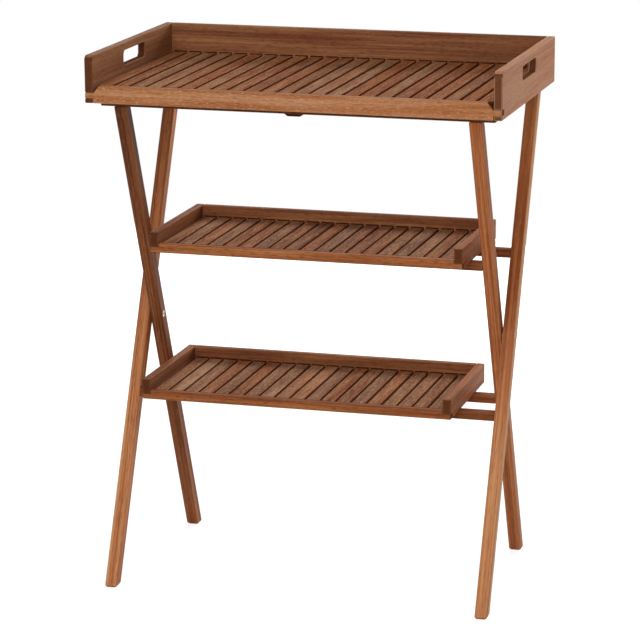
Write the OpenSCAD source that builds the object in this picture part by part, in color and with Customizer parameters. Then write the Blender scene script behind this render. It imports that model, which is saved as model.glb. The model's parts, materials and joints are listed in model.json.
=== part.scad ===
// Folding tray stand in oiled hardwood: two crossed leg frames that turn on a bolt each side, a lift-off
// tray on their top rails, and two lift-off slatted shelves on their cross rails.
// +X runs to the right, +Y to the back and +Z up. The origin is on the floor under the middle of the stand.

/* [Tray] */
// Length of the tray over its end boards
tray_length = 700; // [640:1:780]
// Depth of the tray over its front and back boards
tray_depth = 432; // [400:1:470]
// Height of the tray's end boards and back board
tray_wall_height = 78.5; // [74:0.5:110]
// Thickness of the tray's boards
tray_board = 14; // [12:0.5:16]
// Height of the tray's low front board
tray_front_height = 29; // [26:0.5:34]
// Thickness of the tray's slats
tray_slat_thick = 10; // [8:0.5:11]
// Least gap between the tray's slats
tray_slat_gap = 5; // [3:0.5:8]
// Width of the strips under the ends of the tray's slats
tray_ledger_width = 14; // [12:0.5:16]
// Height of the tongue at each end of the tray's front board
tray_tongue_height = 9; // [7:0.5:14]
// Height of the tongue's underside above the front board's bottom edge
tray_tongue_low = 8; // [5:0.5:10]
// Run of the slope from the front board's top edge down to its tongue
tray_tongue_slope = 10; // [6:0.5:24]
// Radius of the end boards' top front corners
tray_end_corner = 9; // [4:0.5:14]

/* [Hand-holds] */
// Length of the hand-hold in each end board
handhold_length = 114; // [95:1:135]
// Height of the hand-hold
handhold_height = 24.5; // [22:0.5:28]
// Distance from the end board's top edge down to the hand-hold
handhold_drop = 13.5; // [10:0.5:18]
// Radius of the hand-hold's corners
handhold_corner = 8; // [4:0.5:10]

/* [Cleat] */
// Width of the cleat under the tray that keeps the frames apart
cleat_width = 42; // [36:1:52]
// Width of the cleat's foot between its bevels
cleat_foot = 21; // [21:1:30]
// Height of the cleat's bevels
cleat_bevel = 7; // [4:0.5:9]
// How far the cleat hangs below the top rails
cleat_drop = 11; // [5:0.5:13]
// Room between each end of the cleat and the top rail next to it
cleat_gap = 20; // [18:0.5:24]
// Distance of each cleat screw from the cleat's middle, across it
cleat_screw_x = 6.5; // [5:0.5:6.5]
// Distance of each cleat screw from the cleat's middle, along it
cleat_screw_y = 100; // [60:1:120]
// Depth of wood above the head of a cleat screw
cleat_screw_seat = 15; // [12:0.5:18]

/* [Shelves] */
// Height of the middle shelf's underside above the floor
middle_shelf_height = 572.5; // [560:0.5:590]
// Height of the bottom shelf's underside above the floor
bottom_shelf_height = 316.5; // [300:0.5:330]
// How far the loose bottom shelf lies to the right of the middle
bottom_shelf_shift = -17; // [-18:0.5:18]
// Room between each end of a shelf and the leg beside it, with the shelf in the middle
shelf_side_gap = 20; // [19:0.5:40]
// Depth of a shelf over its front and back boards
shelf_depth = 262; // [230:1:280]
// Height of a shelf's end boards and back board
shelf_rim = 34.5; // [30:0.5:45]
// Thickness of a shelf's boards
shelf_board = 14; // [12:0.5:16]
// Height of a shelf's low front board
shelf_front_height = 15; // [13:0.5:18]
// Thickness of a shelf's slats
shelf_slat_thick = 8; // [7:0.5:9]
// Least gap between a shelf's slats
shelf_slat_gap = 4; // [3:0.5:7]
// Width of the strips under the ends of a shelf's slats
shelf_ledger_width = 14; // [10:0.5:18]
// Height of the tongue at each end of a shelf's front board
shelf_tongue_height = 9; // [6:0.5:11]
// Radius of a shelf end board's top front corner
shelf_end_corner = 4; // [2:0.5:8]

/* [Slats] */
// Width of every slat
slat_width = 22.5; // [20:0.5:25]
// Gap between the slats' back ends and the back board
slat_end_gap = 2; // [1:0.5:4]

/* [Leg frames] */
// Height of the top rails' upper faces, which carry the tray
stand_height = 854.5; // [835:0.5:875]
// Height of the pivot bolts above the floor
pivot_height = 436; // [426:1:446]
// Thickness of a leg from side to side
leg_thick = 21; // [18:0.5:24]
// Width of a leg square to its length
leg_width = 22.5; // [19:0.5:25]
// Gap between an outer leg and the inner leg beside it
leg_gap = 2; // [1.5:0.5:4]
// Room between the outer legs' faces and the tray's end boards, each side
frame_clear = 3; // [2:0.5:6]
// Height of a top rail
top_rail_height = 27.5; // [24:0.5:32]
// Depth of a top rail
top_rail_depth = 22; // [20:0.5:25]
// Room between a top rail and the ledger in front of or behind it
ledger_clear = 1.7; // [1:0.1:3]
// Height of the cross rails under the shelves
rail_height = 14.5; // [12:0.5:16]
// Depth of the cross rails under the shelves
rail_depth = 20; // [17:0.5:21]

/* [Hardware] */
// Diameter of the pivot bolts
bolt_diameter = 6; // [5:0.5:8]
// Diameter of the bolt heads
bolt_head_diameter = 12; // [11:0.5:14]
// Thickness of the bolt heads
bolt_head_thick = 3.5; // [3:0.5:5]
// Depth of the bolt heads below the legs' outer faces
bolt_head_sink = 0.8; // [0.4:0.1:2]
// Width across the flats of the bolt heads' sockets
bolt_socket = 4; // [3:0.5:5]
// Depth of the bolt heads' sockets
bolt_socket_depth = 2.2; // [1.5:0.1:2.5]
// Diameter of the spacers between the legs
spacer_diameter = 11; // [10:0.5:16]
// Diameter of the round nuts and of the washers under them
nut_diameter = 12; // [11:0.5:14]
// Thickness of the round nuts
nut_thick = 7; // [6:0.5:9]
// Depth of the round nuts below the inner legs' inside faces
nut_sink = 0.4; // [0.3:0.1:1.5]
// Width of the slot across each round nut
nut_slot = 1.6; // [1.2:0.1:2]
// Depth of the slot across each round nut
nut_slot_depth = 1.2; // [0.8:0.1:1.6]
// Thickness of the washers under the round nuts
washer_thick = 1; // [0.8:0.1:1.5]
// Diameter of the dowels in the joints
dowel_diameter = 6; // [5:0.5:7]
// Length of the dowels in the joints
dowel_length = 24; // [20:1:26]
// Height of the lower dowel in each back corner of the tray, above the boards' bottom edges
tray_dowel_low = 18; // [12:1:24]
// Height of the upper dowel in each back corner of the tray, above the boards' bottom edges
tray_dowel_high = 60; // [50:1:64]
// Diameter of the wood screws' shanks
screw_diameter = 3.5; // [3:0.5:4]
// Diameter of the wood screws' heads
screw_head_diameter = 7; // [6:0.5:8]
// Length of the wood screws
screw_length = 20; // [18:0.5:22]
// Number of screws in each ledger of the tray
ledger_screw_count = 5; // [3:1:8]
// Distance of the outer ledger screws from the end boards
ledger_screw_margin = 50; // [25:1:80]

/* [Clearances] */
// Running room round a pivot bolt in its bores
bolt_clear = 0.1; // [0.05:0.05:0.3]
// Running room beside the inner legs' faces at the pivot
side_clear = 0.2; // [0.1:0.05:0.4]
// Room round a dowel in its holes
dowel_clear = 0.05; // [0.05:0.05:0.2]
// Room past the end of a dowel or a screw in its hole
hole_end_clear = 0.5; // [0.3:0.1:1]
// Room round a wood screw in its hole
screw_clear = 0.1; // [0.05:0.05:0.2]

/* [Hidden] */
$fn = 64;

leg_colour = "#9a5a31";
rail_colour = "#86502f";
board_colour = "#a8714a";
slat_colour = "#80543d";
dowel_colour = "#c9a375";
steel_colour = "#b9b7b1";

// Side faces of the legs, counted outwards from the middle
outer_leg_outside = tray_length / 2 - tray_board - frame_clear;
outer_leg_inside = outer_leg_outside - leg_thick;
inner_leg_outside = outer_leg_inside - leg_gap;
inner_leg_inside = inner_leg_outside - leg_thick;

// The frames open until their top rails stand just inside the tray's ledgers, and that sets the legs' lean
leg_top = stand_height - top_rail_height;
top_rail_y = tray_depth / 2 - tray_board - tray_ledger_width - ledger_clear - top_rail_depth / 2;
lean_slope = top_rail_y / (leg_top - pivot_height);
lean_angle = atan(lean_slope);
leg_half_level = leg_width / 2 / cos(lean_angle);
leans_back = 1;
leans_front = -1;
left = -1;
right = 1;

// The tray's slats lie flush with its front board and rest on the top rails
tray_floor = stand_height + tray_slat_thick;
tray_base = tray_floor - tray_front_height;
tray_inside = tray_length / 2 - tray_board;
tray_front_inside = tray_depth / 2 - tray_board;
tray_tongue_top = tray_tongue_low + tray_tongue_height;
handhold_middle = tray_wall_height - handhold_drop - handhold_height / 2;

// The cleat hangs under the slat just left of the middle
tray_slat_pitch = slat_width + even_gap(tray_inside, slat_count(tray_inside, tray_slat_gap));
cleat_x = -tray_slat_pitch / 2;
cleat_foot_z = leg_top - cleat_drop;
cleat_half = top_rail_y - top_rail_depth / 2 - cleat_gap;

// A shelf's own frame has its underside at zero height and its middle at the origin
shelf_half = inner_leg_inside - shelf_side_gap;
shelf_inside = shelf_half - shelf_board;
shelf_front_inside = shelf_depth / 2 - shelf_board;
middle_place = [0, 0, middle_shelf_height];
bottom_place = [bottom_shelf_shift, 0, bottom_shelf_height];

middle_rail_z = middle_shelf_height - rail_height / 2;
bottom_rail_z = bottom_shelf_height - rail_height / 2;

// The pivot bolt's stack, counted inwards from the outer leg's face
bolt_head_face = outer_leg_outside - bolt_head_sink;
bolt_head_seat = bolt_head_face - bolt_head_thick;
nut_end = inner_leg_inside + nut_sink;
nut_face = nut_end + nut_thick;
nut_recess = nut_sink + nut_thick + washer_thick + side_clear;
bolt_end = nut_end + 2 * nut_slot_depth;

// Where a leg's middle line stands at a height
function leg_y(lean, z) = lean * lean_slope * (z - pivot_height);

// How many slats fit in a width with at least the given gap, and the even gap that they then have
function slat_count(inside, gap) = floor((2 * inside - gap) / (slat_width + gap));
function even_gap(inside, count) = (2 * inside - count * slat_width) / (count + 1);

// Places of the ledger screws along a ledger
function ledger_screw_x(i) =
    (tray_inside - ledger_screw_margin) * (2 * i / (ledger_screw_count - 1) - 1);

module both_sides() {
    children();
    mirror([1, 0, 0])
        children();
}

// Turns a drawing in X and Y into a board of that outline in Y and Z, from x = 0 towards +X
module upright_across(thick) {
    rotate([90, 0, 90])
        linear_extrude(thick)
            children();
}

// Turns a drawing in X and Y into a board of that outline in X and Z, from y = 0 towards +Y
module upright_along(thick) {
    translate([0, thick, 0])
        rotate([90, 0, 0])
            linear_extrude(thick)
                children();
}

// A round bar or hole along X, centred on the point where it is drawn
module bar_x(diameter, length) {
    rotate([0, 90, 0])
        cylinder(d = diameter, h = length, center = true);
}

// A countersunk wood screw with its head's face at z = 0 and its tip down, or with grow, its hole
module wood_screw(grow) {
    shank = screw_diameter / 2 + grow;
    head = screw_head_diameter / 2 + grow;
    head_depth = head - shank;
    tip = screw_length + grow;
    rotate_extrude()
        polygon([
            [0, 0],
            [head, 0],
            [shank, -head_depth],
            [shank, -tip + 2 * shank],
            [0, -tip],
        ]);
}

// The dowels of one leg frame: one at each end of its two cross rails and one down into each leg's top
module frame_dowels(lean, rail_end, leg_middle, clear, extra) {
    diameter = dowel_diameter + 2 * clear;
    length = dowel_length + 2 * extra;
    both_sides() {
        for (z = [middle_rail_z, bottom_rail_z])
            translate([rail_end, leg_y(lean, z), z])
                bar_x(diameter, length);
        translate([leg_middle, leg_y(lean, leg_top), leg_top])
            rotate([-lean * lean_angle, 0, 0])
                cylinder(d = diameter, h = length, center = true);
    }
}

module outer_frame_dowels(clear, extra) {
    leg_middle = outer_leg_outside - leg_thick / 2;
    frame_dowels(leans_back, outer_leg_inside, leg_middle, clear, extra);
}

module inner_frame_dowels(clear, extra) {
    leg_middle = inner_leg_outside - leg_thick / 2;
    frame_dowels(leans_front, inner_leg_inside, leg_middle, clear, extra);
}

// A leg with level foot and top, from x = 0 towards +X
module leg_blank(lean) {
    upright_across(leg_thick)
        polygon([
            [leg_y(lean, 0) - leg_half_level, 0],
            [leg_y(lean, 0) + leg_half_level, 0],
            [leg_y(lean, leg_top) + leg_half_level, leg_top],
            [leg_y(lean, leg_top) - leg_half_level, leg_top],
        ]);
}

module pivot_bores() {
    both_sides()
        translate([outer_leg_inside, 0, pivot_height])
            bar_x(bolt_diameter + 2 * bolt_clear, 4 * leg_thick);
}

module outer_leg(side) {
    start = side > 0 ? outer_leg_inside : -outer_leg_outside;
    difference() {
        translate([start, 0, 0])
            leg_blank(leans_back);
        pivot_bores();
        both_sides()
            translate([outer_leg_outside, 0, pivot_height])
                bar_x(bolt_head_diameter + 2 * bolt_clear, 2 * (bolt_head_sink + bolt_head_thick));
        outer_frame_dowels(dowel_clear, hole_end_clear);
    }
}

module inner_leg(side) {
    start = side > 0 ? inner_leg_inside : -inner_leg_outside;
    difference() {
        translate([start, 0, 0])
            leg_blank(leans_front);
        pivot_bores();
        both_sides()
            translate([inner_leg_inside, 0, pivot_height])
                bar_x(nut_diameter + 2 * bolt_clear, 2 * nut_recess);
        inner_frame_dowels(dowel_clear, hole_end_clear);
    }
}

// A top rail centred over the tops of one frame's legs
module top_rail(lean) {
    translate([-outer_leg_outside, leg_y(lean, leg_top) - top_rail_depth / 2, leg_top])
        cube([2 * outer_leg_outside, top_rail_depth, top_rail_height]);
}

// A cross rail between one frame's legs, centred on the legs' middle lines
module cross_rail(lean, half_length, z) {
    translate([-half_length, leg_y(lean, z) - rail_depth / 2, z - rail_height / 2])
        cube([2 * half_length, rail_depth, rail_height]);
}

module outer_rail(z) {
    difference() {
        cross_rail(leans_back, outer_leg_inside, z);
        outer_frame_dowels(dowel_clear, hole_end_clear);
    }
}

module inner_rail(z) {
    difference() {
        cross_rail(leans_front, inner_leg_inside, z);
        inner_frame_dowels(dowel_clear, hole_end_clear);
    }
}

// A ring on the pivot's line, from x towards +X
module pivot_ring(x, thick, diameter) {
    translate([x + thick / 2, 0, pivot_height])
        difference() {
            bar_x(diameter, thick);
            bar_x(bolt_diameter + 2 * bolt_clear, 2 * thick);
        }
}

// A round nut closed at its inner end, where a slot takes a screwdriver
module slotted_nut() {
    difference() {
        translate([nut_end + nut_thick / 2, 0, pivot_height])
            bar_x(nut_diameter, nut_thick);
        translate([bolt_end - hole_end_clear, 0, pivot_height])
            rotate([0, 90, 0])
                cylinder(d = bolt_diameter + 2 * bolt_clear, h = nut_thick);
        translate([nut_end, 0, pivot_height])
            cube([2 * nut_slot_depth, 2 * nut_diameter, nut_slot], center = true);
    }
}

module pivot_bolt() {
    shank = bolt_head_seat - bolt_end;
    translate([bolt_end + shank / 2, 0, pivot_height])
        bar_x(bolt_diameter, shank);
    difference() {
        translate([bolt_head_seat + bolt_head_thick / 2, 0, pivot_height])
            bar_x(bolt_head_diameter, bolt_head_thick);
        translate([bolt_head_face - bolt_socket_depth, 0, pivot_height])
            rotate([0, 90, 0])
                cylinder(d = bolt_socket / cos(30), h = 2 * bolt_socket_depth, $fn = 6);
    }
}

// An end board's outline in depth and height, with its top front corner rounded
module end_outline(depth, height, corner) {
    translate([-depth / 2 + corner, 0])
        square([depth - corner, height]);
    translate([-depth / 2, 0])
        square([2 * corner, height - corner]);
    translate([-depth / 2 + corner, height - corner])
        circle(r = corner);
}

module rounded_slot(length, height, corner) {
    square([length - 2 * corner, height], center = true);
    square([length, height - 2 * corner], center = true);
    for (x = [-1, 1], y = [-1, 1])
        translate([x * (length / 2 - corner), y * (height / 2 - corner)])
            circle(r = corner);
}

// A row of even slats across a width, from front to back, with their upper faces at the given height
module slat_row(inside, gap, front, back, top, thick) {
    count = slat_count(inside, gap);
    pitch = slat_width + even_gap(inside, count);
    for (i = [0 : count - 1])
        translate([(i - (count - 1) / 2) * pitch - slat_width / 2, front, top - thick])
            cube([slat_width, back - front, thick]);
}

// The dowels between the tray's end boards and its back board
module tray_corner_dowels(clear, extra) {
    for (height = [tray_dowel_low, tray_dowel_high])
        both_sides()
            translate([tray_inside, tray_depth / 2 - tray_board / 2, tray_base + height])
                bar_x(dowel_diameter + 2 * clear, tray_board + 2 * extra);
}

module tray_end(side) {
    start = side > 0 ? tray_inside : -tray_length / 2;
    difference() {
        translate([start, 0, tray_base])
            upright_across(tray_board)
                difference() {
                    end_outline(tray_depth, tray_wall_height, tray_end_corner);
                    translate([0, handhold_middle])
                        rounded_slot(handhold_length, handhold_height, handhold_corner);
                    translate([-tray_depth / 2 - tray_board, tray_tongue_low])
                        square([2 * tray_board, tray_tongue_height]);
                }
        tray_corner_dowels(dowel_clear, hole_end_clear);
    }
}

// A ledger's screws, with their heads in its inner face and their tips in the board behind it
module ledger_screws(side, grow) {
    for (i = [0 : ledger_screw_count - 1])
        translate([
            ledger_screw_x(i),
            side * (tray_front_inside - tray_ledger_width),
            (tray_base + stand_height) / 2,
        ])
            rotate([side * 90, 0, 0])
                wood_screw(grow);
}

module tray_ledger(side) {
    front = side > 0 ? tray_front_inside - tray_ledger_width : -tray_front_inside;
    difference() {
        translate([-tray_inside, front, tray_base])
            cube([2 * tray_inside, tray_ledger_width, stand_height - tray_base]);
        ledger_screws(side, screw_clear);
    }
}

module cleat_screw_row(grow) {
    for (x = [-1, 1], y = [-1, 1])
        translate([cleat_x + x * cleat_screw_x, y * cleat_screw_y, stand_height - cleat_screw_seat])
            rotate([180, 0, 0])
                wood_screw(grow);
}

// Finger-jointed parts of a loose shelf, drawn in the shelf's own frame
module shelf_end(side) {
    start = side > 0 ? shelf_inside : -shelf_half;
    difference() {
        translate([start, 0, 0])
            upright_across(shelf_board)
                difference() {
                    end_outline(shelf_depth, shelf_rim, shelf_end_corner);
                    translate([-shelf_depth / 2 - shelf_board, -shelf_tongue_height])
                        square([2 * shelf_board, 2 * shelf_tongue_height]);
                }
        shelf_corner_dowels(dowel_clear, hole_end_clear);
    }
}

module shelf_corner_dowels(clear, extra) {
    both_sides()
        translate([shelf_inside, shelf_depth / 2 - shelf_board / 2, shelf_rim / 2])
            bar_x(dowel_diameter + 2 * clear, shelf_board + 2 * extra);
}

module shelf_back() {
    difference() {
        translate([-shelf_inside, shelf_front_inside, 0])
            cube([2 * shelf_inside, shelf_board, shelf_rim]);
        shelf_corner_dowels(dowel_clear, hole_end_clear);
    }
}

module shelf_front() {
    translate([0, -shelf_depth / 2, 0])
        upright_along(shelf_board) {
            translate([-shelf_half, 0])
                square([2 * shelf_half, shelf_tongue_height]);
            translate([-shelf_inside, 0])
                square([2 * shelf_inside, shelf_front_height]);
        }
}

module shelf_ledger(side) {
    front = side > 0 ? shelf_front_inside - shelf_ledger_width : -shelf_front_inside;
    translate([-shelf_inside, front, 0])
        cube([2 * shelf_inside, shelf_ledger_width, shelf_front_height - shelf_slat_thick]);
}

module shelf_slats() {
    slat_row(
        shelf_inside,
        shelf_slat_gap,
        -shelf_front_inside,
        shelf_front_inside - slat_end_gap,
        shelf_front_height,
        shelf_slat_thick
    );
}

module outer_leg_left() {
    color(leg_colour)
        outer_leg(left);
}

module outer_leg_right() {
    color(leg_colour)
        outer_leg(right);
}

module outer_top_rail() {
    color(rail_colour)
        difference() {
            top_rail(leans_back);
            outer_frame_dowels(dowel_clear, hole_end_clear);
        }
}

module outer_middle_rail() {
    color(rail_colour)
        outer_rail(middle_rail_z);
}

module outer_bottom_rail() {
    color(rail_colour)
        outer_rail(bottom_rail_z);
}

module outer_dowels() {
    color(dowel_colour)
        outer_frame_dowels(0, 0);
}

module inner_leg_left() {
    color(leg_colour)
        inner_leg(left);
}

module inner_leg_right() {
    color(leg_colour)
        inner_leg(right);
}

module inner_top_rail() {
    color(rail_colour)
        difference() {
            top_rail(leans_front);
            inner_frame_dowels(dowel_clear, hole_end_clear);
        }
}

module inner_middle_rail() {
    color(rail_colour)
        inner_rail(middle_rail_z);
}

module inner_bottom_rail() {
    color(rail_colour)
        inner_rail(bottom_rail_z);
}

module inner_dowels() {
    color(dowel_colour)
        inner_frame_dowels(0, 0);
}

module pivot_bolts() {
    color(steel_colour)
        both_sides()
            pivot_bolt();
}

module pivot_spacers() {
    color(steel_colour)
        both_sides()
            pivot_ring(inner_leg_outside + side_clear, leg_gap - side_clear, spacer_diameter);
}

module pivot_washers() {
    color(steel_colour)
        both_sides()
            pivot_ring(nut_face, washer_thick, nut_diameter);
}

module pivot_nuts() {
    color(steel_colour)
        both_sides()
            slotted_nut();
}

module tray_left_end() {
    color(board_colour)
        tray_end(left);
}

module tray_right_end() {
    color(board_colour)
        tray_end(right);
}

module tray_back_board() {
    color(board_colour)
        difference() {
            translate([-tray_inside, tray_front_inside, tray_base])
                cube([2 * tray_inside, tray_board, tray_wall_height]);
            tray_corner_dowels(dowel_clear, hole_end_clear);
            ledger_screws(right, screw_clear);
        }
}

module tray_front_board() {
    slope_start = tray_inside - tray_tongue_slope;
    color(board_colour)
        difference() {
            translate([0, -tray_depth / 2, tray_base])
                upright_along(tray_board) {
                    translate([-tray_length / 2, tray_tongue_low])
                        square([tray_length, tray_tongue_height]);
                    polygon([
                        [-tray_inside, 0],
                        [tray_inside, 0],
                        [tray_inside, tray_tongue_top],
                        [slope_start, tray_front_height],
                        [-slope_start, tray_front_height],
                        [-tray_inside, tray_tongue_top],
                    ]);
                }
            ledger_screws(left, screw_clear);
        }
}

module tray_front_ledger() {
    color(rail_colour)
        tray_ledger(left);
}

module tray_back_ledger() {
    color(rail_colour)
        tray_ledger(right);
}

module tray_slats() {
    color(slat_colour)
        difference() {
            slat_row(
                tray_inside,
                tray_slat_gap,
                -tray_front_inside,
                tray_front_inside - slat_end_gap,
                tray_floor,
                tray_slat_thick
            );
            cleat_screw_row(screw_clear);
        }
}

module tray_cleat() {
    cleat_height = stand_height - cleat_foot_z;
    color(rail_colour)
        difference() {
            translate([cleat_x, -cleat_half, cleat_foot_z])
                upright_along(2 * cleat_half)
                    polygon([
                        [-cleat_foot / 2, 0],
                        [cleat_foot / 2, 0],
                        [cleat_width / 2, cleat_bevel],
                        [cleat_width / 2, cleat_height],
                        [-cleat_width / 2, cleat_height],
                        [-cleat_width / 2, cleat_bevel],
                    ]);
            cleat_screw_row(screw_clear);
            for (x = [-1, 1], y = [-1, 1])
                translate([cleat_x + x * cleat_screw_x, y * cleat_screw_y, cleat_foot_z - 1])
                    cylinder(d = screw_head_diameter + 2 * screw_clear, h = cleat_height + 1 - cleat_screw_seat);
        }
}

module tray_cleat_screws() {
    color(steel_colour)
        cleat_screw_row(0);
}

module tray_ledger_screws() {
    color(steel_colour) {
        ledger_screws(left, 0);
        ledger_screws(right, 0);
    }
}

module tray_dowels() {
    color(dowel_colour)
        tray_corner_dowels(0, 0);
}

module middle_shelf_left_end() {
    color(board_colour)
        translate(middle_place)
            shelf_end(left);
}

module middle_shelf_right_end() {
    color(board_colour)
        translate(middle_place)
            shelf_end(right);
}

module middle_shelf_back_board() {
    color(board_colour)
        translate(middle_place)
            shelf_back();
}

module middle_shelf_front_board() {
    color(board_colour)
        translate(middle_place)
            shelf_front();
}

module middle_shelf_front_ledger() {
    color(rail_colour)
        translate(middle_place)
            shelf_ledger(left);
}

module middle_shelf_back_ledger() {
    color(rail_colour)
        translate(middle_place)
            shelf_ledger(right);
}

module middle_shelf_slats() {
    color(slat_colour)
        translate(middle_place)
            shelf_slats();
}

module middle_shelf_dowels() {
    color(dowel_colour)
        translate(middle_place)
            shelf_corner_dowels(0, 0);
}

module bottom_shelf_left_end() {
    color(board_colour)
        translate(bottom_place)
            shelf_end(left);
}

module bottom_shelf_right_end() {
    color(board_colour)
        translate(bottom_place)
            shelf_end(right);
}

module bottom_shelf_back_board() {
    color(board_colour)
        translate(bottom_place)
            shelf_back();
}

module bottom_shelf_front_board() {
    color(board_colour)
        translate(bottom_place)
            shelf_front();
}

module bottom_shelf_front_ledger() {
    color(rail_colour)
        translate(bottom_place)
            shelf_ledger(left);
}

module bottom_shelf_back_ledger() {
    color(rail_colour)
        translate(bottom_place)
            shelf_ledger(right);
}

module bottom_shelf_slats() {
    color(slat_colour)
        translate(bottom_place)
            shelf_slats();
}

module bottom_shelf_dowels() {
    color(dowel_colour)
        translate(bottom_place)
            shelf_corner_dowels(0, 0);
}

outer_leg_left();
outer_leg_right();
outer_top_rail();
outer_middle_rail();
outer_bottom_rail();
outer_dowels();
inner_leg_left();
inner_leg_right();
inner_top_rail();
inner_middle_rail();
inner_bottom_rail();
inner_dowels();
pivot_bolts();
pivot_spacers();
pivot_washers();
pivot_nuts();
tray_left_end();
tray_right_end();
tray_back_board();
tray_front_board();
tray_front_ledger();
tray_back_ledger();
tray_slats();
tray_cleat();
tray_cleat_screws();
tray_ledger_screws();
tray_dowels();
middle_shelf_left_end();
middle_shelf_right_end();
middle_shelf_back_board();
middle_shelf_front_board();
middle_shelf_front_ledger();
middle_shelf_back_ledger();
middle_shelf_slats();
middle_shelf_dowels();
bottom_shelf_left_end();
bottom_shelf_right_end();
bottom_shelf_back_board();
bottom_shelf_front_board();
bottom_shelf_front_ledger();
bottom_shelf_back_ledger();
bottom_shelf_slats();
bottom_shelf_dowels();
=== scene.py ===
"""Folding tray stand in oiled acacia: crossed leg frames, a lift-off tray and two slatted shelves."""
import json
import math
import random

import bmesh
import bpy
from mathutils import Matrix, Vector


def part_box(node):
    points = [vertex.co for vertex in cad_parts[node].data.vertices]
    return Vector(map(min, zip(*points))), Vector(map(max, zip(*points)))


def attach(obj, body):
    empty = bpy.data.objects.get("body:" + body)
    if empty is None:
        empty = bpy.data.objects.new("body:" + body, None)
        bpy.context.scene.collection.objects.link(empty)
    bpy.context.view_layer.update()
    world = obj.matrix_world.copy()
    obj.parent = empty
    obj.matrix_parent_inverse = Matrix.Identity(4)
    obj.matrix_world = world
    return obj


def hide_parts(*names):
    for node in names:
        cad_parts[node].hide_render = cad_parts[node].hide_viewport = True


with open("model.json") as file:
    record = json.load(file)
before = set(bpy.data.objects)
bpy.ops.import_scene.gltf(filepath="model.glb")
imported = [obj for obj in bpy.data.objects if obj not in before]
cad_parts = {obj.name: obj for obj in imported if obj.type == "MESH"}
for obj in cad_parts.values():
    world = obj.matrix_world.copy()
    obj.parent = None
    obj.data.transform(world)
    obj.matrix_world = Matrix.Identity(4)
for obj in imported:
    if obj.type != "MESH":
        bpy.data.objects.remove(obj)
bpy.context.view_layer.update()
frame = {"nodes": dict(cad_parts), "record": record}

MM = 0.001
scene = bpy.context.scene
record = frame["record"]
bodies = record["behaviour"]["bodies"]
body_of_node = {node: body for body, members in bodies.items() for node in members}


def linear(code):
    """An sRGB hex colour as a linear RGBA tuple."""
    channels = [int(code[i:i + 2], 16) / 255 for i in (1, 3, 5)]
    return tuple(c / 12.92 if c <= 0.04045 else ((c + 0.055) / 1.055) ** 2.4 for c in channels) + (1.0,)


def add(tree, kind, inputs=None, **settings):
    """Adds a node with its settings; each input is a value or another node's output socket."""
    node = tree.nodes.new(kind)
    for name, value in settings.items():
        setattr(node, name, value)
    for name, value in (inputs or {}).items():
        if isinstance(value, bpy.types.NodeSocket):
            tree.links.new(value, node.inputs[name])
        else:
            node.inputs[name].default_value = value
    return node


def emptied(owner):
    """The node tree of a material or a world, with its first nodes taken out."""
    owner.use_nodes = True
    owner.node_tree.nodes.clear()
    return owner.node_tree


def linked(obj):
    scene.collection.objects.link(obj)
    return obj


# Finishes

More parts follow.
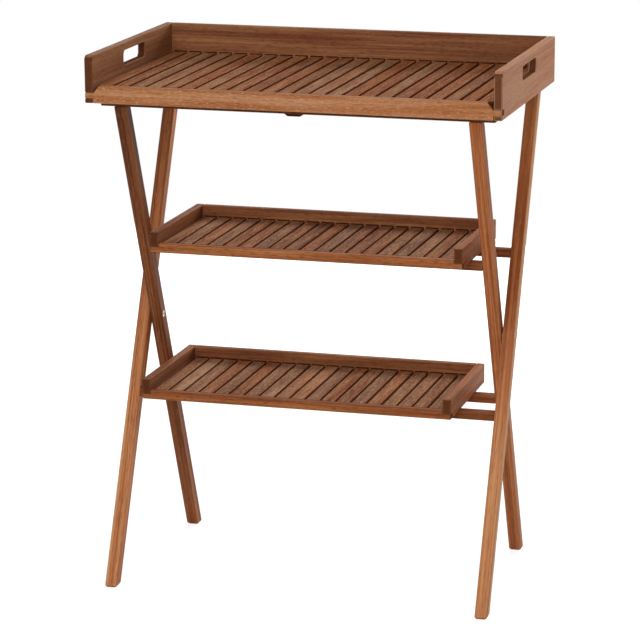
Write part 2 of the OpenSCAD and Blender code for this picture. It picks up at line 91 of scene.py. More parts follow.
def oiled_acacia(name, colours, fleck, patterns, fleck_share, pore_share, roughness, specular):
    """Acacia, saw-cut, sanded and oiled: brown bands and fine streaks along the grain, short pores and pale
    flecks of interlocked grain, darker end grain, painted shade on the faces marked as shaded, lightened
    edges, and a satin sheen that the streaks break up. colours run from dark to light wood. patterns holds
    each pattern's length along the grain and width across it in millimetres, and its detail."""
    wood = bpy.data.materials.new(name)
    tree = emptied(wood)
    grain = add(tree, "ShaderNodeAttribute", attribute_name="grain").outputs["Vector"]
    own = {label: add(tree, "ShaderNodeAttribute", attribute_name=label).outputs["Fac"]
           for label in ("tone", "warmth", "figure", "flecked", "worn", "sawn_and_shaded", "edge")}
    field = {}
    for label, (along, across, detail) in patterns.items():
        per_metre = (1 / (along * MM), 1 / (across * MM), 1 / (across * MM))
        stretched = add(tree, "ShaderNodeVectorMath", {0: grain, 1: per_metre}, operation="MULTIPLY")
        field[label] = add(tree, "ShaderNodeTexNoise", {
            "Vector": stretched.outputs[0], "Scale": 1.0, "Detail": detail, "Roughness": 0.55,
            "Distortion": 0.25}).outputs[0]

    # The bands and streaks push the piece's own tone up and down the ramp from dark to light wood
    banded = add(tree, "ShaderNodeMath", {0: field["bands"], 1: 1.1, 2: -0.95}, operation="MULTIPLY_ADD")
    streaked = add(tree, "ShaderNodeMath", {0: field["streaks"], 1: 0.8, 2: banded.outputs[0]},
                   operation="MULTIPLY_ADD")
    level = add(tree, "ShaderNodeMath", {0: streaked.outputs[0], 1: own["figure"], 2: own["tone"]},
                operation="MULTIPLY_ADD")
    ramp = add(tree, "ShaderNodeValToRGB", {"Fac": level.outputs[0]})
    stops = ramp.color_ramp.elements
    stops[0].color = linear(colours[0])
    stops[1].color = linear(colours[-1])
    for i, code in enumerate(colours[1:-1], 1):
        stops.new(i / (len(colours) - 1)).color = linear(code)

    # Light bands are yellower and dark ones redder than the piece's own warmth
    warm = add(tree, "ShaderNodeMath", {0: field["bands"], 1: -0.8, 2: own["warmth"]},
               operation="MULTIPLY_ADD")
    hue = add(tree, "ShaderNodeMapRange", {"Value": warm.outputs[0], "From Min": -0.4, "From Max": 0.6,
                                           "To Min": 0.510, "To Max": 0.490})
    saturation = add(tree, "ShaderNodeMapRange", {"Value": own["warmth"], "To Min": 0.80, "To Max": 1.15})
    colour = add(tree, "ShaderNodeHueSaturation", {
        "Hue": hue.outputs[0], "Saturation": saturation.outputs[0],
        "Color": ramp.outputs["Color"]}).outputs[0]

    # Flecks, pores, darkened faces and lightened edges cover the banded wood in turn: faces marked sawn are
    # darkened as end grain and as painted shade, and rounded edges are lightened partly as wear and partly as
    # a painted highlight
    flecks = add(tree, "ShaderNodeMapRange", {"Value": field["flecks"], "From Min": 0.54, "From Max": 0.70,
                                              "To Max": fleck_share}).outputs[0]
    flecks = add(tree, "ShaderNodeMath", {0: flecks, 1: own["flecked"]}, operation="MULTIPLY").outputs[0]
    pores = add(tree, "ShaderNodeMapRange", {"Value": field["pores"], "From Min": 0.30, "From Max": 0.42,
                                             "To Min": pore_share, "To Max": 0.0}).outputs[0]
    pores = add(tree, "ShaderNodeMath", {0: pores, 1: own["figure"]}, operation="MULTIPLY").outputs[0]
    # Faces marked sawn are darkened towards the darkest wood: end grain; the slats' sides in their gaps and
    # the housings, as painted shade; and the insides of the hand-holds
    darkened_share = add(tree, "ShaderNodeMath", {0: own["sawn_and_shaded"], 1: 0.85}, operation="MULTIPLY").outputs[0]
    # Rounded edges turn lighter by the piece's edge share: partly wear, partly a painted highlight where they
    # catch the light
    edges = add(tree, "ShaderNodeMath", {0: own["edge"], 1: own["worn"]}, operation="MULTIPLY").outputs[0]
    for share, code in ((flecks, fleck), (pores, colours[0]), (darkened_share, colours[0]), (edges, fleck)):
        mixed = add(tree, "ShaderNodeMix", {0: share, 6: colour, 7: linear(code)}, data_type="RGBA")
        colour = mixed.outputs[2]

    # Pores lie lower than the streaks, and sawn and routed faces are left unsanded and dull
    rough = add(tree, "ShaderNodeMapRange", {"Value": field["streaks"], "From Min": 0.3, "From Max": 0.7,
                                             "To Min": roughness + 0.08, "To Max": roughness - 0.06})
    dulled = add(tree, "ShaderNodeMath", {0: own["sawn_and_shaded"], 1: 0.4, 2: rough.outputs[0]},
                 operation="MULTIPLY_ADD", use_clamp=True)
    raised = add(tree, "ShaderNodeMath", {0: pores, 1: -1.2, 2: field["streaks"]}, operation="MULTIPLY_ADD")
    bump = add(tree, "ShaderNodeBump", {"Height": raised.outputs[0], "Strength": 0.3, "Distance": 0.4 * MM})
    surface = add(tree, "ShaderNodeBsdfPrincipled", {
        "Base Color": colour, "Roughness": dulled.outputs[0], "Normal": bump.outputs[0], "IOR": 1.5,
        "Specular IOR Level": specular})
    add(tree, "ShaderNodeOutputMaterial", {"Surface": surface.outputs[0]})
    return wood


# Fibre streaks and pores are under 1 mm wide in the real wood and are drawn two to three times as wide, so
# that they show
board_acacia = oiled_acacia(
    "oiled_acacia_boards", ("#562C16", "#8E5533", "#B6794E", "#D5A17D"), "#E0B486",
    {"bands": (420, 15, 2.0), "streaks": (120, 3.0, 3.0), "pores": (12, 1.8, 0.0), "flecks": (7, 2.6, 1.5)},
    fleck_share=0.42, pore_share=0.45, roughness=0.55, specular=0.12)
leg_acacia = oiled_acacia(
    "oiled_acacia_legs", ("#5A2D14", "#915229", "#C07546", "#E0A06C"), "#DDA678",
    {"bands": (600, 10, 2.0), "streaks": (240, 2.6, 3.0), "pores": (18, 1.8, 0.0), "flecks": (18, 2.6, 1.0)},
    fleck_share=0.40, pore_share=0.22, roughness=0.52, specular=0.12)
rail_acacia = oiled_acacia(
    "oiled_acacia_rails", ("#4C2813", "#7E4827", "#AA683E", "#C28758"), "#C8936A",
    {"bands": (500, 11, 2.0), "streaks": (200, 2.6, 3.0), "pores": (16, 1.8, 0.0), "flecks": (14, 2.6, 1.0)},
    fleck_share=0.40, pore_share=0.40, roughness=0.54, specular=0.10)
# Its darkest colour is also the painted shade on the slats' sides down in the gaps
slat_acacia = oiled_acacia(
    "oiled_acacia_slats", ("#5C2609", "#844E2D", "#A66B44", "#C69168"), "#CFA486",
    {"bands": (150, 14, 2.0), "streaks": (60, 2.6, 3.0), "pores": (11, 2.4, 0.0), "flecks": (11, 2.6, 1.0)},
    fleck_share=0.55, pore_share=0.45, roughness=0.66, specular=0.10)


def turned_beech():
    """Beech dowel, turned and left bare: pale tan with small darker flecks and a dull surface."""
    beech = bpy.data.materials.new("turned_beech")
    tree = emptied(beech)
    place = add(tree, "ShaderNodeTexCoord").outputs["Object"]
    flecks = add(tree, "ShaderNodeTexNoise", {"Vector": place, "Scale": 1 / (1.5 * MM), "Detail": 2.0})
    ramp = add(tree, "ShaderNodeValToRGB", {"Fac": flecks.outputs[0]})
    ramp.color_ramp.elements[0].color = linear("#B98F63")
    ramp.color_ramp.elements[1].color = linear("#DDBB90")
    bump = add(tree, "ShaderNodeBump", {"Height": flecks.outputs[0], "Strength": 0.2, "Distance": 0.2 * MM})
    surface = add(tree, "ShaderNodeBsdfPrincipled", {
        "Base Color": ramp.outputs[0], "Roughness": 0.65, "Normal": bump.outputs[0]})
    add(tree, "ShaderNodeOutputMaterial", {"Surface": surface.outputs[0]})
    return beech


def zinc_plated_steel():
    """Turned steel with bright zinc plating: pale grey metal with a soft, slightly cloudy gloss."""
    zinc = bpy.data.materials.new("zinc_plated_steel")
    tree = emptied(zinc)
    place = add(tree, "ShaderNodeTexCoord").outputs["Object"]
    cloud = add(tree, "ShaderNodeTexNoise", {"Vector": place, "Scale": 1 / (2.5 * MM), "Detail": 3.0})
    ramp = add(tree, "ShaderNodeValToRGB", {"Fac": cloud.outputs[0]})
    ramp.color_ramp.elements[0].color = linear("#B0ACA2")
    ramp.color_ramp.elements[1].color = linear("#D6D3CA")
    rough = add(tree, "ShaderNodeMapRange", {"Value": cloud.outputs[0], "From Min": 0.3, "From Max": 0.7,
                                             "To Min": 0.24, "To Max": 0.38})
    bump = add(tree, "ShaderNodeBump", {"Height": cloud.outputs[0], "Strength": 0.08, "Distance": 0.1 * MM})
    surface = add(tree, "ShaderNodeBsdfPrincipled", {
        "Base Color": ramp.outputs[0], "Metallic": 1.0, "Roughness": rough.outputs[0],
        "Normal": bump.outputs[0]})
    add(tree, "ShaderNodeOutputMaterial", {"Surface": surface.outputs[0]})
    return zinc


beech = turned_beech()
zinc = zinc_plated_steel()


# Slats: how they lie, and the housings that the back boards have behind their rear ends

slat_width = 22.5 * MM
slat_ease = 1.6 * MM  # radius of their long edges
slat_play = 0.4 * MM  # the most that each lies off its place, to the left or right
slat_counts = {"tray": 24, "middle_shelf": 19, "bottom_shelf": 19}
housing_depth = 7 * MM
housing_room = 0.45 * MM  # on each side of a slat
housing_slit = 1.6 * MM  # over a slat


def slat_places(level):
    """The slats' centres along X, and the heights of their undersides and tops."""
    low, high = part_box(level + "_slats")
    count = slat_counts[level]
    pitch = (high.x - low.x - slat_width) / (count - 1)
    return [low.x + slat_width / 2 + pitch * i for i in range(count)], low.z, high.z


# Edges that are rounded

hand_hold_low, hand_hold_high = 872 * MM, 905 * MM  # heights that the tray's hand-holds lie between
hand_hold_end = 70 * MM  # how near to the tray's middle they end
hand_hold_round = 1.8  # radius in millimetres
shortest_straight = 4 * MM  # the rims of bores have shorter edges
foot_rim, foot_corner = 1 * MM, 8 * MM  # heights that a foot's rim and its corners lie below


def hand_hold(edge):
    """The rims of the slots in the tray's end boards."""
    return all(hand_hold_low < v.co.z < hand_hold_high and abs(v.co.y) < hand_hold_end for v in edge.verts)


def long_edge(edge):
    """The straight edges of a stick or a board, and not the rims of the bores in it."""
    return edge.calc_length() > shortest_straight and not hand_hold(edge)


def foot_edge(edge):
    """The rim of a leg's foot."""
    return all(v.co.z < foot_rim for v in edge.verts)


def leg_edge(edge):
    """A leg's straight edges, and the corners where they run down into its rounded foot."""
    return edge.calc_length() > shortest_straight or all(v.co.z < foot_corner for v in edge.verts)


def any_edge(edge):
    return True


# Pieces taken over from the CAD solids, with their edges rounded

same_place = 2e-6  # points closer than this are one
least_edge = 5e-6  # shorter edges, left by the rounding, are closed up
on_plane = 1e-7  # points this close to a cut lie on it
sharp_angle = math.radians(28)  # edges that are sharper than this are rounded
crease_angle = math.radians(48)  # and those that stay sharper than this show as creases
end_facing = 0.75  # faces that face along the grain further than this are sawn ends
right_facing = 0.6  # faces that face right further than this have the tone of the side
hand_hold_darkening = 0.95  # how far the insides of the hand-holds are darkened, on the scale of the faces marked sawn
no_end_grain = 1.0  # no rounding faces along the grain further than this


def cut_housings(shape, sawn_and_shaded, edge, slats):
    """Cuts a housing into a back board's front face behind each slat's rear end, with a slit over it; the
    housing's faces are darkened as painted shade in the recess.
    """
    centres, low, high = slats
    top = high + housing_slit
    reach = slat_width / 2 + housing_room

    def front(inside=lambda centre: True):
        return [f for f in shape.faces if f.normal.y < -0.99 and inside(f.calc_center_median())]

    def in_strip(centre):
        return low < centre.z < top

    def part(faces, place, normal):
        around = {*faces, *(e for f in faces for e in f.edges), *(v for f in faces for v in f.verts)}
        bmesh.ops.bisect_plane(shape, geom=list(around), dist=on_plane, plane_co=place, plane_no=normal)

    for z in (low, top):
        part(front(), (0, 0, z), (0, 0, 1))
    for x in (centre + end for centre in centres for end in (-reach, reach)):
        part(front(in_strip), (x, 0, 0), (1, 0, 0))
    mouths = front(lambda centre: in_strip(centre) and min(abs(centre.x - x) for x in centres) < reach)
    pushed = bmesh.ops.extrude_face_region(shape, geom=mouths)["geom"]
    bmesh.ops.delete(shape, geom=mouths, context="FACES")
    bmesh.ops.translate(shape, verts=[g for g in pushed if isinstance(g, bmesh.types.BMVert)],
                        vec=(0, housing_depth, 0))
    backs = [g for g in pushed if isinstance(g, bmesh.types.BMFace)]
    # The housing's faces are marked sawn so that they are darkened: painted shade in the recess
    for face in {f for back in backs for e in back.edges for f in e.link_faces}:
        face[sawn_and_shaded], face[edge] = 1.0, 0.0
    shape.normal_update()


def along_piece(values, share):
    """The value at a share of a piece's length, between values at even steps along it."""
    place = share * (len(values) - 1)
    i = min(max(int(place + 1e-4), 0), len(values) - 2)
    return values[i] + (values[i + 1] - values[i]) * (place - i)


def rounded_copy(node, name, rounds, along=(1, 0, 0), side=0.0, slats=None, **look):
    """A merged copy of a CAD piece with its edges sanded round, and with its wood grain laid in the
    direction along. rounds holds a test that picks edges, their radius in millimetres, and how far a rounding
    must face along the grain to show end grain. A look is one value for the whole piece, or values at even
    steps along it. side is what the tone of the piece's right faces has more than the rest, in the same form:
    partly the wood's own tone, partly painted light and shade on those faces. slats are the places of the
    slats that a back board has housings for."""
    shape = bmesh.new()
    shape.from_mesh(frame["nodes"][node].data)
    grain = shape.verts.layers.float_vector.new("grain")
    own = {label: shape.loops.layers.float.new(label) for label in look}
    sawn_and_shaded = shape.faces.layers.float.new("sawn_and_shaded")
    edge = shape.faces.layers.float.new("edge")
    bmesh.ops.remove_doubles(shape, verts=shape.verts, dist=same_place)
    bmesh.ops.dissolve_limit(shape, angle_limit=math.radians(1), verts=shape.verts, edges=shape.edges)

    # Roundings, and which faces are darkened: those across the grain, the insides of the hand-holds, and the
    # housings, whose dark is painted shade
    along = Vector(along).normalized()
    for face in shape.faces:
        face[sawn_and_shaded] = 1.0 if abs(face.normal.dot(along)) > end_facing else 0.0
    for picks, radius, end_grain in rounds:
        sharp = [e for e in shape.edges if e.calc_face_angle(0.0) > sharp_angle and picks(e)]
        made = bmesh.ops.bevel(shape, geom=sharp, offset=radius * MM, offset_type="OFFSET", affect="EDGES",
                               segments=3, profile=0.5, clamp_overlap=False)
        for face in made["faces"]:
            face[edge] = 1.0
            face[sawn_and_shaded] = 1.0 if abs(face.normal.dot(along)) > end_grain else 0.0
    bmesh.ops.dissolve_degenerate(shape, dist=least_edge, edges=shape.edges)
    for face in shape.faces:
        if abs(face.normal.x) < 0.2 and all(hand_hold(e) for e in face.edges):
            face[sawn_and_shaded] = hand_hold_darkening
    if slats:
        cut_housings(shape, sawn_and_shaded, edge, slats)

    # Grain from a place of the piece's own in the wood, and looks that change at even steps along it
    across = Vector((0, 0, 1)) if abs(along.x) > 0.5 else Vector((1, 0, 0))
    through = along.cross(across)
    pick = random.Random(node)
    start = Vector((pick.uniform(2, 9), pick.uniform(2, 9), pick.uniform(2, 9)))
    look = {label: value if isinstance(value, tuple) else (value, value)
            for label, value in {**look, "side": side}.items()}
    reach = [vertex.co.dot(along) for vertex in shape.verts]
    first, length = min(reach), max(reach) - min(reach)
    steps = max(len(values) - 1 for values in look.values())
    for i in range(1, steps):
        bmesh.ops.bisect_plane(shape, geom=[*shape.verts, *shape.edges, *shape.faces], dist=on_plane,
                               plane_co=along * (first + length * i / steps), plane_no=along)
    for vertex in shape.verts:
        vertex[grain] = start + Vector((vertex.co.dot(along), vertex.co.dot(across), vertex.co.dot(through)))
    for face in shape.faces:
        for loop in face.loops:
            share = (loop.vert.co.dot(along) - first) / length
            here = {label: along_piece(values, share) for label, values in look.items()}
            # Right faces get the side tone on top: partly the wood's own tone, partly painted light and shade
            if face.normal.x > right_facing and "tone" in own:
                here["tone"] += here["side"]
            for label, layer in own.items():
                loop[layer] = here[label]

    mesh = bpy.data.meshes.new(name)
    shape.to_mesh(mesh)
    shape.free()
    mesh.shade_smooth()
    mesh.set_sharp_from_angle(angle=crease_angle)
    piece = linked(bpy.data.objects.new(name, mesh))
    even = piece.modifiers.new("even normals", "WEIGHTED_NORMAL")
    even.keep_sharp = True
    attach(piece, body_of_node[node])
    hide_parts(node)
    return piece


def wooden(node, finish, along, rounds, tone, warmth, figure, flecked=0.3, worn=0.07, side=0.0, slats=None):
    """A wooden piece. rounds is one radius for its straight edges, or what rounded_copy takes."""
    if not isinstance(rounds, tuple):
        rounds = ((long_edge, rounds, 0.3), (hand_hold, hand_hold_round, no_end_grain))
    piece = rounded_copy(node, node + "_wood", rounds, along, side, slats, tone=tone, warmth=warmth,
                         figure=figure, flecked=flecked, worn=worn)
    piece.data.materials.append(finish)


ALONG_X, ALONG_Y = (1, 0, 0), (0, 1, 0)
leg_slope = 0.44834  # how far a leg leans for each metre that it rises
outer_lean, inner_lean = (0, leg_slope, 1), (0, -leg_slope, 1)
# The lower part of each foot's rounded rim is darkened like end grain: partly the end grain that shows there,
# partly painted shade where the foot meets the floor
footed = ((foot_edge, 4.6, 0.55), (leg_edge, 2.0, 0.9))
# The outer legs are lighter at their front feet and darker higher up behind, where the tray and shelves shade
# them: painted shade, partly the wood's own tone
wooden("outer_leg_left", leg_acacia, outer_lean, footed, tone=(0.92, 0.92, 0.67, 0.60, 0.56),
       warmth=(0.56, 0.53, 0.48), figure=1.3, flecked=0.5, worn=0.1, side=(-0.30, -0.25, 0.0, 0.12, 0.12))
wooden("outer_leg_right", leg_acacia, outer_lean, footed, tone=(0.88, 0.97, 0.64, 0.48, 0.82),
       warmth=(0.56, 0.52, 0.60), figure=1.0, worn=0.1, side=(0.0, 0.1, 0.3, 0.45, 0.45))
wooden("inner_leg_left", leg_acacia, inner_lean, footed, tone=(0.28, 0.15), warmth=0.50, figure=1.0,
       worn=0.05, side=(0.08, -0.1))
wooden("inner_leg_right", leg_acacia, inner_lean, footed, tone=(0.51, 0.56), warmth=(0.53, 0.59),
       figure=1.1, worn=0.1, side=(0.1, -0.03))
for leg_frame in ("outer", "inner"):
    # The top rail is given nearly the darkest tone: painted shade under the tray
    wooden(f"{leg_frame}_top_rail", rail_acacia, ALONG_X, 1.8, tone=0.08, warmth=0.5, figure=0.6)
    wooden(f"{leg_frame}_middle_rail", rail_acacia, ALONG_X, 1.6, tone=0.40, warmth=0.6, figure=0.7)
    wooden(f"{leg_frame}_bottom_rail", rail_acacia, ALONG_X, 1.6, tone=0.40, warmth=0.6, figure=0.7)
wooden("tray_front_board", board_acacia, ALONG_X, 1.6, tone=(0.71, 0.74, 0.72), warmth=(0.66, 0.68, 0.68),
       figure=0.6, flecked=(1.3, 1.1, 0.8))
wooden("tray_back_board", board_acacia, ALONG_X, 1.6, tone=(0.41, 0.41, 0.28), warmth=0.44, figure=0.8,
       flecked=0.15, slats=slat_places("tray"))
wooden("tray_left_end", board_acacia, ALONG_Y, 1.8, tone=0.46, warmth=0.38, figure=0.6)
# Its edges are lightened most: a painted highlight along its top and the rims of its hand-hold, partly wear
wooden("tray_right_end", board_acacia, ALONG_Y, 1.8, tone=(1.00, 0.92), warmth=0.85, figure=0.5, worn=0.32)
wooden("tray_front_ledger", rail_acacia, ALONG_X, 1.0, tone=0.4, warmth=0.5, figure=0.6)
wooden("tray_back_ledger", rail_acacia, ALONG_X, 1.0, tone=0.4, warmth=0.5, figure=0.6)
# The cleat is given the darkest tone: painted shade under the tray
wooden("tray_cleat", rail_acacia, ALONG_Y, 1.2, tone=0.05, warmth=0.5, figure=0.6)
for shelf, front_tone in (("middle_shelf", (0.49, 0.69)), ("bottom_shelf", (0.42, 0.38))):
    wooden(f"{shelf}_front_board", board_acacia, ALONG_X, 1.8, tone=front_tone, warmth=0.72, figure=1.0,
           flecked=0.2)
    wooden(f"{shelf}_back_board", board_acacia, ALONG_X, 1.8, tone=0.36, warmth=0.50, figure=0.9, flecked=0.1,
           slats=slat_places(shelf))
    wooden(f"{shelf}_left_end", board_acacia, ALONG_Y, 1.8, tone=0.31, warmth=0.45, figure=0.6)
    wooden(f"{shelf}_right_end", board_acacia, ALONG_Y, 1.8, tone=0.46, warmth=0.70, figure=0.5)
    wooden(f"{shelf}_front_ledger", rail_acacia, ALONG_X, 0.8, tone=0.4, warmth=0.5, figure=0.6)
    wooden(f"{shelf}_back_ledger", rail_acacia, ALONG_X, 0.8, tone=0.4, warmth=0.5, figure=0.6)
for node, radius in (("pivot_bolts", 0.35), ("pivot_spacers", 0.2), ("pivot_washers", 0.2),
                     ("pivot_nuts", 0.25)):
    piece = rounded_copy(node, node + "_steel", ((any_edge, radius, no_end_grain),))
    piece.data.materials.append(zinc)
for node in (n for n in frame["nodes"] if n.endswith("dowels")):
    frame["nodes"][node].data.materials.clear()
    frame["nodes"][node].data.materials.append(beech)


# Slats and screws, repeated by Geometry Nodes

grown_crease = math.radians(38)  # their edges that are sharper than this show as creases


def tree_with_inputs(name, inputs):
    """A new Geometry Nodes tree, its input sockets' identifiers by name, and its input node's outputs."""
    tree = bpy.data.node_groups.new(name, "GeometryNodeTree")
    tree.interface.new_socket("Geometry", in_out="INPUT", socket_type="NodeSocketGeometry")
    sockets = {label: tree.interface.new_socket(label, in_out="INPUT", socket_type=kind).identifier
               for label, kind in inputs.items()}
    tree.interface.new_socket("Geometry", in_out="OUTPUT", socket_type="NodeSocketGeometry")
    return tree, sockets, add(tree, "NodeGroupInput").outputs


def slat_row():
    """One slat along Y with eased edges, repeated along X, each with its own tone and place in the wood."""
    tree, sockets, given = tree_with_inputs("slat row", {
        "Count": "NodeSocketInt", "Pitch": "NodeSocketFloat", "First": "NodeSocketVector",
        "Length": "NodeSocketFloat", "Width": "NodeSocketFloat", "Thickness": "NodeSocketFloat",
        "Ease": "NodeSocketFloat", "Play": "NodeSocketFloat", "Tone": "NodeSocketFloat",
        "Warmth": "NodeSocketFloat", "Seed": "NodeSocketInt", "Finish": "NodeSocketMaterial"})

    # The slat, with its grain along it; its upright faces are marked sawn and darkened: its ends as end
    # grain, and its sides as painted shade in the gaps between the slats
    end = add(tree, "ShaderNodeCombineXYZ", {1: given["Length"]})
    line = add(tree, "GeometryNodeCurvePrimitiveLine", {"End": end.outputs[0]})
    outline = add(tree, "GeometryNodeCurvePrimitiveQuadrilateral", {
        "Width": given["Width"], "Height": given["Thickness"]})
    eased = add(tree, "GeometryNodeFilletCurve", {
        "Curve": outline.outputs[0], "Radius": given["Ease"], "Count": 3, "Limit Radius": True}, mode="POLY")
    slat = add(tree, "GeometryNodeCurveToMesh", {
        "Curve": line.outputs[0], "Profile Curve": eased.outputs[0], "Fill Caps": True})
    place = add(tree, "ShaderNodeSeparateXYZ", {0: add(tree, "GeometryNodeInputPosition").outputs[0]})
    turned = add(tree, "ShaderNodeCombineXYZ", {
        0: place.outputs[1], 1: place.outputs[0], 2: place.outputs[2]})
    local = add(tree, "GeometryNodeStoreNamedAttribute", {
        "Geometry": slat.outputs[0], "Name": "grain", "Value": turned.outputs[0]},
        data_type="FLOAT_VECTOR", domain="POINT")
    facing = add(tree, "ShaderNodeVectorMath", {0: add(tree, "GeometryNodeInputNormal").outputs[0]},
                 operation="ABSOLUTE")
    facing = add(tree, "ShaderNodeSeparateXYZ", {0: facing.outputs[0]})
    upright = add(tree, "ShaderNodeMath", {0: facing.outputs[2], 1: 0.4}, operation="LESS_THAN")
    local = add(tree, "GeometryNodeStoreNamedAttribute", {
        "Geometry": local.outputs[0], "Name": "sawn_and_shaded", "Value": upright.outputs[0]},
        data_type="FLOAT", domain="FACE")

    # The row, each slat a little off its place
    step = add(tree, "ShaderNodeCombineXYZ", {0: given["Pitch"]})
    points = add(tree, "GeometryNodeMeshLine", {
        "Count": given["Count"], "Start Location": given["First"], "Offset": step.outputs[0]}, mode="OFFSET")
    less = add(tree, "ShaderNodeMath", {0: given["Play"], 1: -1.0}, operation="MULTIPLY")
    jog = add(tree, "FunctionNodeRandomValue", {2: less.outputs[0], 3: given["Play"], "Seed": given["Seed"]},
              data_type="FLOAT")
    sideways = add(tree, "ShaderNodeCombineXYZ", {0: jog.outputs[1]})
    points = add(tree, "GeometryNodeSetPosition", {
        "Geometry": points.outputs[0], "Offset": sideways.outputs[0]})
    row = add(tree, "GeometryNodeInstanceOnPoints", {
        "Points": points.outputs[0], "Instance": local.outputs[0]})

    # Each slat's own look, drawn around a middle value from its own seed
    for label, centre, spread, more in (("tone", given["Tone"], 0.13, 11),
                                        ("warmth", given["Warmth"], 0.22, 23),
                                        ("figure", 1.1, 0.2, 37), ("flecked", 0.9, 0.3, 41)):
        seed = add(tree, "ShaderNodeMath", {0: given["Seed"], 1: float(more)}, operation="ADD")
        low = add(tree, "ShaderNodeMath", {0: centre, 1: spread}, operation="SUBTRACT")
        high = add(tree, "ShaderNodeMath", {0: centre, 1: spread}, operation="ADD")
        value = add(tree, "FunctionNodeRandomValue", {
            2: low.outputs[0], 3: high.outputs[0], "Seed": seed.outputs[0]}, data_type="FLOAT")
        row = add(tree, "GeometryNodeStoreNamedAttribute", {
            "Geometry": row.outputs[0], "Name": label, "Value": value.outputs[1]},
            data_type="FLOAT", domain="INSTANCE")

    # Each slat's own place in the wood
    far = add(tree, "FunctionNodeRandomValue", {0: (0, 0, 0), 1: (7, 7, 7), "Seed": given["Seed"]},
              data_type="FLOAT_VECTOR")
    row = add(tree, "GeometryNodeStoreNamedAttribute", {
        "Geometry": row.outputs[0], "Name": "start", "Value": far.outputs[0]},
        data_type="FLOAT_VECTOR", domain="INSTANCE")
    real = add(tree, "GeometryNodeRealizeInstances", {0: row.outputs[0]})
    kept = {label: add(tree, "GeometryNodeInputNamedAttribute", {"Name": label},
                       data_type="FLOAT_VECTOR").outputs[0] for label in ("grain", "start")}
    moved = add(tree, "ShaderNodeVectorMath", {0: kept["grain"], 1: kept["start"]}, operation="ADD")
    real = add(tree, "GeometryNodeStoreNamedAttribute", {
        "Geometry": real.outputs[0], "Name": "grain", "Value": moved.outputs[0]},
        data_type="FLOAT_VECTOR", domain="POINT")
    done = add(tree, "GeometryNodeSetMaterial", {"Geometry": real.outputs[0], "Material": given["Finish"]})
    add(tree, "NodeGroupOutput", {0: done.outputs[0]})
    return tree, sockets


def screw_set():
    """Countersunk wood screws with a cross recess, one on each point, headed along its own direction."""
    tree, sockets, given = tree_with_inputs("screw set", {
        "Head radius": "NodeSocketFloat", "Shank radius": "NodeSocketFloat", "Length": "NodeSocketFloat",
        "Recess": "NodeSocketFloat", "Finish": "NodeSocketMaterial"})
    tip_share, tip_radius, bar_share = 0.3, 0.2 * MM, 0.24

    # How deep the head, the shank and the tip are, and the heights that each ends at
    depth = add(tree, "ShaderNodeMath", {0: given["Head radius"], 1: given["Shank radius"]},
                operation="SUBTRACT").outputs[0]
    tip = add(tree, "ShaderNodeMath", {0: given["Length"], 1: tip_share}, operation="MULTIPLY").outputs[0]
    run = add(tree, "ShaderNodeMath", {0: given["Length"], 1: tip}, operation="SUBTRACT").outputs[0]
    run = add(tree, "ShaderNodeMath", {0: run, 1: depth}, operation="SUBTRACT").outputs[0]
    lower = add(tree, "ShaderNodeMath", {0: depth, 1: -1.0}, operation="MULTIPLY").outputs[0]
    bottom = add(tree, "ShaderNodeMath", {0: lower, 1: run}, operation="SUBTRACT").outputs[0]
    below = add(tree, "ShaderNodeMath", {0: bottom, 1: tip}, operation="SUBTRACT").outputs[0]
    cones = []
    for around, top_radius, end_radius, height, end in (
            (28, given["Head radius"], given["Shank radius"], depth, lower),
            (20, given["Shank radius"], given["Shank radius"], run, bottom),
            (18, given["Shank radius"], tip_radius, tip, below)):
        cone = add(tree, "GeometryNodeMeshCone", {
            "Vertices": around, "Radius Top": top_radius, "Radius Bottom": end_radius, "Depth": height})
        shift = add(tree, "ShaderNodeCombineXYZ", {2: end})
        cones.append(add(tree, "GeometryNodeTransform", {
            "Geometry": cone.outputs[0], "Translation": shift.outputs[0]}))
    head, shank, point = cones

    # Two crossed bars are cut out of the head
    wide = add(tree, "ShaderNodeMath", {0: given["Recess"], 1: bar_share}, operation="MULTIPLY").outputs[0]
    cut = add(tree, "GeometryNodeMeshBoolean", {"Mesh 1": head.outputs[0]}, operation="DIFFERENCE",
              solver="EXACT")
    for x, y in ((given["Recess"], wide), (wide, given["Recess"])):
        size = add(tree, "ShaderNodeCombineXYZ", {0: x, 1: y, 2: depth})
        bar = add(tree, "GeometryNodeMeshCube", {"Size": size.outputs[0]})
        tree.links.new(bar.outputs[0], cut.inputs["Mesh 2"])
    screw = add(tree, "GeometryNodeJoinGeometry")
    for part in (cut, shank, point):
        tree.links.new(part.outputs[0], screw.inputs[0])

    # One screw on each point
    facing = add(tree, "GeometryNodeInputNamedAttribute", {"Name": "facing"}, data_type="FLOAT_VECTOR")
    turn = add(tree, "FunctionNodeAlignRotationToVector", {"Vector": facing.outputs[0]}, axis="Z")
    spread = add(tree, "GeometryNodeInstanceOnPoints", {
        "Points": given["Geometry"], "Instance": screw.outputs[0], "Rotation": turn.outputs[0]})
    real = add(tree, "GeometryNodeRealizeInstances", {0: spread.outputs[0]})
    done = add(tree, "GeometryNodeSetMaterial", {"Geometry": real.outputs[0], "Material": given["Finish"]})
    add(tree, "NodeGroupOutput", {0: done.outputs[0]})
    return tree, sockets


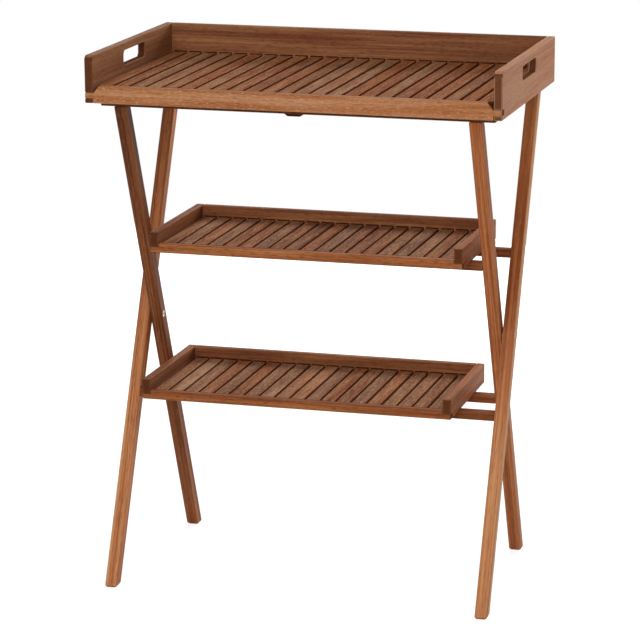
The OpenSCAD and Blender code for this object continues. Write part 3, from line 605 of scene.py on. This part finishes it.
def grown(name, tree, sockets, sizes, points=(), facings=()):
    """Runs a tree on the given points and returns what it makes as a plain mesh piece."""
    seeds = bpy.data.meshes.new(name + "_points")
    seeds.from_pydata(points, [], [])
    if facings:
        ways = seeds.attributes.new("facing", "FLOAT_VECTOR", "POINT")
        ways.data.foreach_set("vector", [c for facing in facings for c in facing])
    host = linked(bpy.data.objects.new(name + "_host", seeds))
    modifier = host.modifiers.new("tree", "NODES")
    modifier.node_group = tree
    for label, value in sizes.items():
        modifier[sockets[label]] = value
    graph = bpy.context.evaluated_depsgraph_get()
    mesh = bpy.data.meshes.new_from_object(host.evaluated_get(graph), preserve_all_data_layers=True,
                                           depsgraph=graph)
    host.modifiers.remove(modifier)
    bpy.data.objects.remove(host)
    mesh.name = name
    mesh.shade_smooth()
    mesh.set_sharp_from_angle(angle=grown_crease)
    return linked(bpy.data.objects.new(name, mesh))


row_tree, row_sockets = slat_row()
# The shelves' slats get less warmth than the tray's, which greys them: painted sheen
for level, tone, warmth, seed in (("tray", 0.66, 0.60, 5), ("middle_shelf", 0.54, 0.28, 18),
                                  ("bottom_shelf", 0.54, 0.35, 31)):
    node = level + "_slats"
    low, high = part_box(node)
    centres = slat_places(level)[0]
    row = grown(node + "_row", row_tree, row_sockets, {
        "Count": len(centres), "Pitch": centres[1] - centres[0],
        "First": (centres[0], low.y, (low.z + high.z) / 2), "Length": high.y - low.y, "Width": slat_width,
        "Thickness": high.z - low.z, "Ease": slat_ease, "Play": slat_play, "Tone": tone, "Warmth": warmth,
        "Seed": seed, "Finish": slat_acacia})
    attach(row, body_of_node[node])
    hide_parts(node)

# Five screws go through each ledger, and four up through the cleat
screw_head, screw_shank, screw_length, screw_recess = 3.5 * MM, 1.75 * MM, 20 * MM, 4.2 * MM
ledger_screws = 5
places, facings = [], []
low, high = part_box("tray_ledger_screws")
for i in range(ledger_screws):
    x = low.x + screw_head + (high.x - low.x - 2 * screw_head) * i / (ledger_screws - 1)
    z = (low.z + high.z) / 2
    places += [(x, low.y + screw_length, z), (x, high.y - screw_length, z)]
    facings += [(0, 1, 0), (0, -1, 0)]
low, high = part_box("tray_cleat_screws")
for x in (low.x + screw_head, high.x - screw_head):
    for y in (low.y + screw_head, high.y - screw_head):
        places.append((x, y, low.z))
        facings.append((0, 0, -1))
screw_tree, screw_sockets = screw_set()
screws = grown("tray_screws", screw_tree, screw_sockets, {
    "Head radius": screw_head, "Shank radius": screw_shank, "Length": screw_length, "Recess": screw_recess,
    "Finish": zinc}, places, facings)
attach(screws, "tray")
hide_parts("tray_ledger_screws", "tray_cleat_screws")


# Studio: a wide lit wall behind, soft boxes in front, and surroundings that are white to the eye

def white_to_the_eye(tree):
    """1 for rays from the camera and for those that metal and glass send on, and 0 for those that light."""
    path = add(tree, "ShaderNodeLightPath").outputs
    seen = path["Is Camera Ray"]
    for kind in ("Is Glossy Ray", "Is Transmission Ray"):
        seen = add(tree, "ShaderNodeMath", {0: seen, 1: path[kind]}, operation="MAXIMUM").outputs[0]
    return seen


# The world lights things with a tenth of the white that the eye sees
world = bpy.data.worlds.new("white_studio")
scene.world = world
tree = emptied(world)
strength = add(tree, "ShaderNodeMapRange", {"Value": white_to_the_eye(tree), "To Min": 0.10, "To Max": 1.0})
glow = add(tree, "ShaderNodeBackground", {"Color": linear("#FFFFFF"), "Strength": strength.outputs[0]})
add(tree, "ShaderNodeOutputWorld", {"Surface": glow.outputs[0]})

# The floor is pale paper to the light. To the eye it is white paper that keeps a pale shadow under the feet.
paper = bpy.data.materials.new("white_paper_floor")
tree = emptied(paper)
matt = add(tree, "ShaderNodeBsdfDiffuse", {"Color": linear("#E8E6E2")})
shaded = add(tree, "ShaderNodeBsdfDiffuse", {"Color": linear("#A8A8A8")})
lit = add(tree, "ShaderNodeEmission", {"Color": linear("#FFFFFF"), "Strength": 0.82})
white = add(tree, "ShaderNodeAddShader", {0: shaded.outputs[0], 1: lit.outputs[0]})
both = add(tree, "ShaderNodeMixShader", {0: white_to_the_eye(tree), 1: matt.outputs[0], 2: white.outputs[0]})
add(tree, "ShaderNodeOutputMaterial", {"Surface": both.outputs[0]})
floor_reach = 2.8
ground = bmesh.new()
bmesh.ops.create_grid(ground, x_segments=1, y_segments=1, size=floor_reach)
sheet = bpy.data.meshes.new("floor")
ground.to_mesh(sheet)
ground.free()
sheet.materials.append(paper)
floor = linked(bpy.data.objects.new("floor", sheet))

# Each lamp's name, width and height in metres, watts and place; all face the middle of the stand
middle = Vector((0, 0, 0.55))
for name, wide, tall, power, place in (("lit_wall", 4.4, 1.5, 200, (0.3, 3.6, 1.75)),
                                       ("front_box", 2.4, 2.0, 66, (0.2, -3.8, 2.9)),
                                       ("low_box", 3.0, 1.2, 38, (0.2, -4.2, 1.3))):
    lamp = bpy.data.lights.new(name, "AREA")
    lamp.shape = "RECTANGLE"
    lamp.size, lamp.size_y = wide, tall
    lamp.energy = power
    lamp_object = linked(bpy.data.objects.new(name, lamp))
    lamp_object.location = place
    lamp_object.visible_camera = lamp_object.visible_glossy = False
    lamp_object.rotation_euler = (middle - Vector(place)).to_track_quat("-Z", "Y").to_euler()

# The camera stands right of the middle and looks down on the tray
look_down, look_left = math.radians(13.126), math.radians(15.321)
camera = bpy.data.cameras.new("camera")
camera.lens = 172.19
camera.sensor_width = 36.0
camera.clip_end = 100.0
viewer = linked(bpy.data.objects.new("camera", camera))
viewer.location = (1.3389, -4.9182, 1.6308)
viewer.rotation_euler = (math.radians(90) - look_down, 0, look_left)
scene.camera = viewer
scene.view_settings.view_transform = "Standard"
